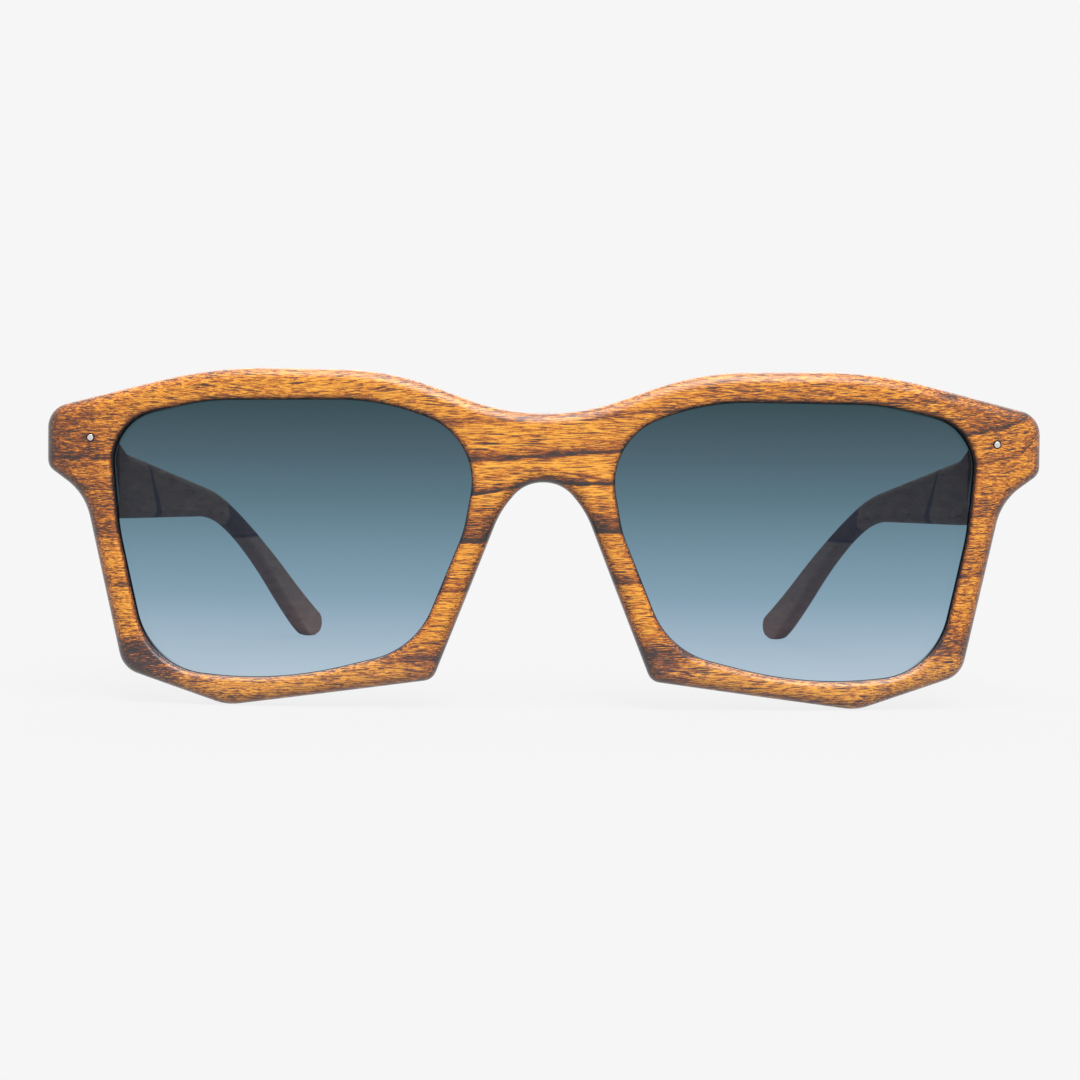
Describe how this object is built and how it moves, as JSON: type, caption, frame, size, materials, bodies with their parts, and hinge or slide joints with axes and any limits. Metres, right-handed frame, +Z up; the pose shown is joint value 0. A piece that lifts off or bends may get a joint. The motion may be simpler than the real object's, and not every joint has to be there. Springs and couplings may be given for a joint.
{
  "type": "sunglasses",
  "caption": "Wooden sunglasses with a carved wraparound front, gradient-tinted lenses held in grooves, and solid wooden arms that fold on riveted barrel hinges.",
  "frame": {"origin": "centre of the bounding box's bottom face, on the table under the middle of the open frame", "axes": "+X across the face to the viewer's right, +Y from the front back to the ear tips, +Z up"},
  "size_m": [0.1456, 0.1428, 0.0487],
  "materials": {
    "wood": "satin varnish over open-pored orange-brown wood",
    "lens": "polished, blue-grey tint that fades towards the bottom",
    "hinge": "black plated steel",
    "bright": "bare steel rivet and screw"
  },
  "bodies": {
    "front": {"front_frame": "wood", "lens_left": "lens", "lens_right": "lens", "front_hinge_leaf_left": "hinge", "front_hinge_leaf_right": "hinge", "front_rivet_left": "bright", "front_rivet_right": "bright", "hinge_screw_left": "bright", "hinge_screw_right": "bright"},
    "arm_left": {"temple_left": "wood", "temple_hinge_leaf_left": "hinge", "temple_rivets_left": "bright"},
    "arm_right": {"temple_right": "wood", "temple_hinge_leaf_right": "hinge", "temple_rivets_right": "bright"}
  },
  "joints": [
    {"name": "arm_left_fold", "type": "hinge", "parent": "front", "child": "arm_left", "pos_m": [-0.0649, -0.05606, 0.034], "axis": [0, 0, -1], "range_deg": [0, 81]},
    {"name": "arm_right_fold", "type": "hinge", "parent": "front", "child": "arm_right", "pos_m": [0.0649, -0.05606, 0.034], "axis": [0, 0, 1], "range_deg": [0, 72]}
  ]
}
